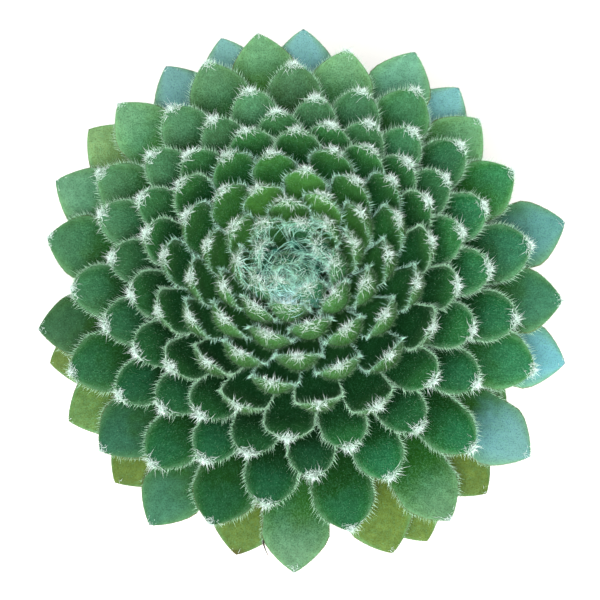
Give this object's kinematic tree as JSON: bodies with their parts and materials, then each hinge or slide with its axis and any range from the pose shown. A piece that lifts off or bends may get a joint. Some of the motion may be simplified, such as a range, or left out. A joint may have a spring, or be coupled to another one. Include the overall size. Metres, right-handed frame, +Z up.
{
  "type": "potted sempervivum ciliosum",
  "caption": "Domed rosette of thick, pointed, hairy leaves in a tight spiral, on a short stem in soil, in a plain tapered clay pot with a collar and a drain hole.",
  "frame": {"origin": "centre of the pot's base, on the surface that the pot stands on", "axes": "+Z up through the middle of the rosette, +Y away from the picture's camera, +X to its right"},
  "size_m": [0.0769, 0.0812, 0.0861],
  "materials": {
    "clay": "matte",
    "soil": "matte",
    "leaf": "matte"
  },
  "bodies": {
    "root": {"pot": "clay", "soil": "soil", "rosette": "leaf"}
  },
  "joints": []
}
